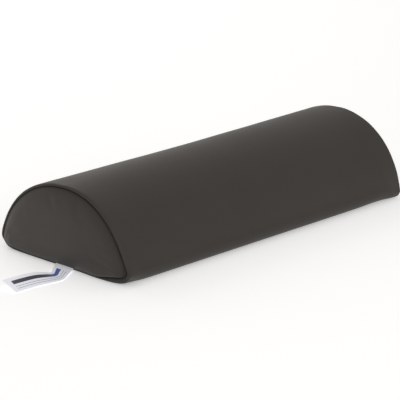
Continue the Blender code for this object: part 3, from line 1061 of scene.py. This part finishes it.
def makeLabel():
    print("side label")
    seamX = -bolster["halfLength"]
    scaled = [(o * mm, y * mm, z * mm, turn, tilt) for o, y, z, turn, tilt in label["run"]]
    run = smoothRun(scaled, label["step"])
    middles, acrosses = [], []
    for out, y, frontZ, turn, tilt in run:
        turned = Matrix.Rotation(-math.radians(turn), 3, "Z") @ Matrix.Rotation(math.radians(tilt), 3, "X")
        across = turned @ Vector((0, 1, 0))
        # the run gives the front edge's height, and the middle stands higher by half the tilt's rise
        slope = across * label["width"] / 2
        level = Vector((across.x, across.y, 0)) * label["width"] / 2
        middles.append(Vector((seamX - out, y, frontZ)) + slope - level)
        acrosses.append(across)
    rows = []
    for k, middle in enumerate(middles):
        ahead = middles[min(k + 1, len(middles) - 1)] - middles[max(k - 1, 0)]
        up = ahead.cross(acrosses[k]).normalized()
        if up.z < 0 and k > label["tucked"]:  # out of the seam, the same side looks up all along
            up = -up
        rows.append((middle, acrosses[k], up))
    travel = [0.0]
    for (a, _, _), (b, _, _) in zip(rows, rows[1:]):
        travel.append(travel[-1] + (b - a).length)
    total = travel[-1]
    bm = bmesh.new()
    uv = bm.loops.layers.uv.new("ribbon")
    grid = []
    # the upper layer out to the fold, then the lower one back, with the way that v runs along each
    order = list(range(len(rows)))
    layers = [(k, label["upper"], 0, 1) for k in order]
    layers += [(k, label["lower"], 2, -1) for k in reversed(order)]
    for k, lift, start, sign in layers:
        middle, across, up = rows[k]
        line = []
        for c in range(label["columns"] + 1):
            share = c / label["columns"] - 0.5
            line.append(bm.verts.new(middle + across * share * label["width"] + up * lift))
        grid.append((line, start + sign * travel[k] / total))
    for (near, v0), (far, v1) in zip(grid, grid[1:]):
        for c in range(label["columns"]):
            face = bm.faces.new((near[c], near[c + 1], far[c + 1], far[c]))
            u0, u1 = c / label["columns"], (c + 1) / label["columns"]
            for loop, (u, v) in zip(face.loops, ((u0, v0), (u1, v0), (u1, v1), (u0, v1))):
                loop[uv].uv = (u, v)
    mesh = bpy.data.meshes.new("sideLabel")
    bm.to_mesh(mesh)
    bm.free()
    item = bpy.data.objects.new("sideLabel", mesh)
    bpy.context.scene.collection.objects.link(item)
    topFace = min(mesh.polygons, key=lambda f: abs(f.center.x - (seamX - 60 * mm)) - f.center.z)
    if topFace.normal.z < 0:
        mesh.flip_normals()
    modifier = item.modifiers.new("ribbon", "SOLIDIFY")
    modifier.thickness = label["layer"]
    modifier.offset = 0
    applyModifier(item, modifier)
    setSmooth(item, 50)
    return item, 2 * total


def newMaterial(name):
    material = bpy.data.materials.new(name)
    material.use_nodes = True
    nodes = material.node_tree.nodes
    shader = nodes["Principled BSDF"]
    return material, nodes, material.node_tree.links, shader


def addNode(nodes, kind, **values):
    node = nodes.new(kind)
    for key, value in values.items():
        if hasattr(node, key):
            setattr(node, key, value)
        else:
            node.inputs[key.replace("_", " ")].default_value = value
    return node


def addPattern(nodes, links, kind, **values):
    # a pattern on the piece's own coordinates
    node = addNode(nodes, kind, **values)
    place = nodes.new("ShaderNodeTexCoord")
    links.new(place.outputs["Object"], node.inputs["Vector"])
    return node


def ramp(nodes, links, value, low, high, lowColor, highColor):
    node = nodes.new("ShaderNodeValToRGB")
    for element, position, color in zip(node.color_ramp.elements, (low, high), (lowColor, highColor)):
        element.position = position
        element.color = (*color, 1)
    links.new(value, node.inputs["Fac"])
    return node.outputs["Color"]


def mixColors(nodes, links, factor, start, end):
    # start and end are each a colour or another node's output
    node = nodes.new("ShaderNodeMix")
    node.data_type = "RGBA"
    links.new(factor, node.inputs["Factor"])
    for socket, color in (("A", start), ("B", end)):
        if isinstance(color, tuple):
            node.inputs[socket].default_value = (*color, 1)
        else:
            links.new(color, node.inputs[socket])
    return node.outputs["Result"]


def multiply(nodes, links, left, right):
    node = addNode(nodes, "ShaderNodeMath", operation="MULTIPLY")
    links.new(left, node.inputs[0])
    links.new(right, node.inputs[1])
    return node.outputs["Value"]


def mapRange(nodes, links, value, fromMin, fromMax, toMin, toMax, **values):
    node = addNode(nodes, "ShaderNodeMapRange", From_Min=fromMin, From_Max=fromMax,
                   To_Min=toMin, To_Max=toMax, **values)
    links.new(value, node.inputs["Value"])
    return node.outputs["Result"]


def addBump(nodes, links, shader, height, strength, distance):
    node = addNode(nodes, "ShaderNodeBump", Strength=strength, Distance=distance)
    links.new(height, node.inputs["Height"])
    links.new(node.outputs["Normal"], shader.inputs["Normal"])


def setShader(shader, **values):
    for key, value in values.items():
        shader.inputs[key.replace("_", " ")].default_value = value


def vinylMaterial():
    # smooth artificial leather: fine pebbled grain, soft satin sheen, painted shade down in the seams and
    # along the bottom edges
    material, nodes, links, shader = newMaterial("coverVinyl")
    slow = addPattern(nodes, links, "ShaderNodeTexNoise", Scale=14.0, Detail=3.0, Roughness=0.5)
    tone = ramp(nodes, links, slow.outputs["Fac"], 0.3, 0.7,
                (0.0440, 0.0374, 0.0322), (0.0490, 0.0416, 0.0360))
    split = addPattern(nodes, links, "ShaderNodeSeparateXYZ")
    floorShade = mapRange(nodes, links, split.outputs["Z"], 0.002, 0.024, 0.5, 0.0,
                       interpolation_type="SMOOTHSTEP")
    # painted shade: darker towards the bottom edges that it stands on
    floorShaded = mixColors(nodes, links, floorShade, tone, (0.016, 0.0135, 0.0115))
    # painted shade: the seamShade attribute darkens the vinyl down in the seam grooves
    depth = nodes.new("ShaderNodeAttribute")
    depth.attribute_name = "seamShade"
    shaded = mixColors(nodes, links, depth.outputs["Fac"], floorShaded, (0.014, 0.0115, 0.0095))
    links.new(shaded, shader.inputs["Base Color"])
    rough = ramp(nodes, links, slow.outputs["Fac"], 0.25, 0.75, (0.44,) * 3, (0.52,) * 3)
    links.new(rough, shader.inputs["Roughness"])
    # the grain's cells, with their outlines made uneven
    warp = addPattern(nodes, links, "ShaderNodeTexNoise", Scale=420.0, Detail=2.0, Roughness=0.6)
    place = nodes.new("ShaderNodeTexCoord")
    warped = addNode(nodes, "ShaderNodeVectorMath", operation="MULTIPLY_ADD")
    warped.inputs[1].default_value = (0.0006,) * 3
    links.new(warp.outputs["Color"], warped.inputs[0])
    links.new(place.outputs["Object"], warped.inputs[2])
    grain = addNode(nodes, "ShaderNodeTexVoronoi", feature="DISTANCE_TO_EDGE", Scale=850.0, Randomness=1.0)
    links.new(warped.outputs["Vector"], grain.inputs["Vector"])
    pebble = ramp(nodes, links, grain.outputs["Distance"], 0.0, 0.22, (0, 0, 0), (1, 1, 1))
    fine = addPattern(nodes, links, "ShaderNodeTexNoise", Scale=2600.0, Detail=2.0, Roughness=0.55)
    height = addNode(nodes, "ShaderNodeMath", operation="MULTIPLY_ADD")
    height.inputs[1].default_value = 0.35
    links.new(fine.outputs["Fac"], height.inputs[0])
    links.new(pebble, height.inputs[2])
    addBump(nodes, links, shader, height.outputs["Value"], 0.22, 0.00006)
    setShader(shader, Specular_IOR_Level=0.24, Sheen_Weight=0.04, Sheen_Roughness=0.4)
    return material


def foamMaterial():
    # open-cell foam with pores
    material, nodes, links, shader = newMaterial("cutFoam")
    pores = addPattern(nodes, links, "ShaderNodeTexVoronoi", Scale=700.0).outputs["Distance"]
    tone = ramp(nodes, links, pores, 0.1, 0.6, (0.55, 0.50, 0.36), (0.78, 0.73, 0.58))
    links.new(tone, shader.inputs["Base Color"])
    addBump(nodes, links, shader, pores, 0.8, 0.0005)
    setShader(shader, Roughness=0.95)
    return material


def tapeMaterial():
    # woven polyester tape: a fine herringbone across the tape
    material, nodes, links, shader = newMaterial("zipTape")
    weave = addPattern(nodes, links, "ShaderNodeTexWave", wave_type="BANDS", bands_direction="DIAGONAL",
                       Scale=420.0, Distortion=1.5, Detail=1.0)
    rib = addPattern(nodes, links, "ShaderNodeTexWave", wave_type="BANDS", bands_direction="X", Scale=520.0)
    both = multiply(nodes, links, weave.outputs["Fac"], rib.outputs["Fac"])
    tone = ramp(nodes, links, both, 0.0, 0.8, (0.012, 0.011, 0.010), (0.036, 0.033, 0.031))
    links.new(tone, shader.inputs["Base Color"])
    addBump(nodes, links, shader, both, 0.6, 0.00012)
    setShader(shader, Roughness=0.82, Sheen_Weight=0.25)
    return material


def nylonMaterial():
    # black nylon filament, slightly glossy on the worn heads
    material, nodes, links, shader = newMaterial("nylonCoil")
    wear = addPattern(nodes, links, "ShaderNodeTexNoise", Scale=160.0, Detail=3.0).outputs["Fac"]
    tone = ramp(nodes, links, wear, 0.35, 0.7, (0.016, 0.015, 0.014), (0.030, 0.028, 0.026))
    links.new(tone, shader.inputs["Base Color"])
    rough = ramp(nodes, links, wear, 0.3, 0.7, (0.30,) * 3, (0.42,) * 3)
    links.new(rough, shader.inputs["Roughness"])
    return material


def enamelMaterial():
    # black enamel on cast zinc: orange peel and small rubbed spots that show the metal
    material, nodes, links, shader = newMaterial("blackEnamel")
    peel = addPattern(nodes, links, "ShaderNodeTexNoise", Scale=900.0, Detail=2.0)
    rub = addPattern(nodes, links, "ShaderNodeTexNoise", Scale=260.0, Detail=5.0, Roughness=0.7)
    spots = ramp(nodes, links, rub.outputs["Fac"], 0.66, 0.74, (0, 0, 0), (1, 1, 1))
    rubbed = mixColors(nodes, links, spots, (0.014, 0.013, 0.013), (0.22, 0.21, 0.20))
    links.new(rubbed, shader.inputs["Base Color"])
    links.new(spots, shader.inputs["Metallic"])
    addBump(nodes, links, shader, peel.outputs["Fac"], 0.25, 0.00005)
    setShader(shader, Roughness=0.30, Coat_Weight=0.4, Coat_Roughness=0.15)
    return material


def threadMaterial():
    # twisted polyester thread
    material, nodes, links, shader = newMaterial("sewingThread")
    twist = addPattern(nodes, links, "ShaderNodeTexWave", wave_type="BANDS", bands_direction="DIAGONAL",
                       Scale=900.0).outputs["Fac"]
    tone = ramp(nodes, links, twist, 0.1, 0.9, (0.020, 0.018, 0.016), (0.048, 0.043, 0.039))
    links.new(tone, shader.inputs["Base Color"])
    addBump(nodes, links, shader, twist, 0.5, 0.0001)
    setShader(shader, Roughness=0.6, Sheen_Weight=0.2)
    return material


def bandMask(nodes, links, value, low, high, soft=0.012):
    # 1 where low < value < high
    up = mapRange(nodes, links, value, low - soft, low + soft, 0.0, 1.0)
    down = mapRange(nodes, links, value, high + soft, high - soft, 0.0, 1.0)
    return multiply(nodes, links, up, down)


def satinMaterial():
    # white satin ribbon with a woven band, blue by the seam and dark at the fold, and two pin lines
    material, nodes, links, shader = newMaterial("satinLabel")
    ribbon = nodes.new("ShaderNodeUVMap")
    ribbon.uv_map = "ribbon"
    split = nodes.new("ShaderNodeSeparateXYZ")
    links.new(ribbon.outputs["UV"], split.inputs["Vector"])
    across, along = split.outputs["X"], split.outputs["Y"]
    woven = ramp(nodes, links, along, 0.30, 0.52, (0.030, 0.085, 0.33), (0.018, 0.019, 0.035))
    pinLine = (0.30, 0.31, 0.37)
    result = (0.88, 0.89, 0.96)
    reach = bandMask(nodes, links, along, 0.17, 0.93, 0.004)
    for low, high, color in ((0.52, 0.78, woven), (0.33, 0.365, pinLine), (0.185, 0.22, pinLine)):
        mask = multiply(nodes, links, bandMask(nodes, links, across, low, high), reach)
        result = mixColors(nodes, links, mask, result, color)
    links.new(result, shader.inputs["Base Color"])
    ribs = addPattern(nodes, links, "ShaderNodeTexWave", wave_type="BANDS", bands_direction="X",
                      Scale=900.0, Distortion=0.4)
    addBump(nodes, links, shader, ribs.outputs["Fac"], 0.35, 0.00005)
    links.new(result, shader.inputs["Emission Color"])  # painted light: the ribbon glows a little to look brighter
    setShader(shader, Emission_Strength=0.20, Roughness=0.38, Sheen_Weight=0.3)
    return material


def floorMaterial():
    material, _, _, shader = newMaterial("paleFloor")
    setShader(shader, Base_Color=(0.86, 0.86, 0.86, 1), Roughness=0.9, Specular_IOR_Level=0.1,
              Emission_Color=(1, 1, 1, 1), Emission_Strength=0.37)
    return material


view = {
    "yaw": -45.80,            # degrees
    "pitch": 17.33,
    "distance": 13.754,       # this and the two shifts are in widths of the bolster
    "shiftX": 0.0449,
    "shiftY": -0.1193,
    "focal": 219.2,
}


def makeCamera():
    unit = 2 * bolster["halfWidth"]
    a, e = math.radians(view["yaw"]), math.radians(view["pitch"])
    back = Vector((math.sin(a) * math.cos(e), -math.cos(a) * math.cos(e), math.sin(e)))
    right = Vector((math.cos(a), math.sin(a), 0))
    up = back.cross(right)
    camera = bpy.data.cameras.new("camera")
    camera.lens = view["focal"]
    camera.sensor_width = 36
    camera.clip_end = 50
    item = bpy.data.objects.new("camera", camera)
    item.location = unit * (view["distance"] * back - view["shiftX"] * right - view["shiftY"] * up)
    item.rotation_euler = Matrix((right, up, back)).transposed().to_euler()
    bpy.context.scene.collection.objects.link(item)
    bpy.context.scene.camera = item


def addLight(name, location, target, size, power, sizeY=None, color=(1, 1, 1)):
    light = bpy.data.lights.new(name, "AREA")
    light.color = color
    light.shape = "RECTANGLE"
    light.size = size
    light.size_y = sizeY or size
    light.energy = power
    item = bpy.data.objects.new(name, light)
    item.location = location
    item.rotation_euler = (Vector(target) - Vector(location)).to_track_quat("-Z", "Y").to_euler()
    bpy.context.scene.collection.objects.link(item)


def makeStage():
    deselectAll()
    bpy.ops.mesh.primitive_plane_add(size=12, location=(0, 0, -0.4 * mm))
    floor = bpy.context.view_layer.objects.active
    floor.name = "floor"
    settle(floor)
    floor.data.materials.append(floorMaterial())
    world = bpy.data.worlds.new("studio")
    bpy.context.scene.world = world
    world.use_nodes = True
    background = world.node_tree.nodes["Background"]
    background.inputs["Color"].default_value = (1, 0.985, 0.965, 1)
    background.inputs["Strength"].default_value = 0.57
    addLight("backSoftbox", (0.25, 1.5, 0.95), (0, 0, 0.03), 1.6, 5.5, 0.7, (1, 0.93, 0.86))
    addLight("frontSoftbox", (-0.8, -1.8, 1.3), (-0.15, 0, 0), 1.2, 9)
    bpy.context.scene.view_settings.view_transform = "Standard"


makeCamera()
vinyl = vinylMaterial()
foam = foamMaterial()
tape = tapeMaterial()
nylon = nylonMaterial()
enamel = enamelMaterial()
thread = threadMaterial()
satin = satinMaterial()

wrap = finishPiece(makeWrap(), "bolster", vinyl, ["cover_wrap"])
for panelName, panelNode, panelSide in (
    ("endPanelLeft", "end_panel_left", -1), ("endPanelRight", "end_panel_right", 1),
):
    piece = finishPiece(makePanel(panelName, panelSide), "bolster", vinyl, [panelNode])
block = finishPiece(makeFoam(), "bolster", foam, ["foam_core"])

for coilName, coilSide in (("upper", 1), ("lower", -1)):
    coil = makeCoil("zipCoil" + coilName.capitalize(), coilSide)
    finishPiece(coil, "bolster", nylon, ["zip_coil_" + coilName])
finishPiece(makeTapeEdges(), "bolster", tape)
finishPiece(makeSlider(), "zip_slider", enamel, ["zip_slider_body"])
finishPiece(makePullTab(), "zip_pull", enamel, ["zip_pull_tab"])
finishPiece(makeZipStitching(), "bolster", thread)

ribbonItem, ribbonLength = makeLabel()
finishPiece(ribbonItem, "bolster", satin, ["side_label"])

for nodeName, material in (
    ("zip_tape_upper", tape), ("zip_tape_lower", tape),
    ("zip_top_stop_upper", enamel), ("zip_top_stop_lower", enamel), ("zip_bottom_stop", enamel),
):
    for materialSlot in frame["nodes"][nodeName].material_slots:
        materialSlot.material = material

makeStage()
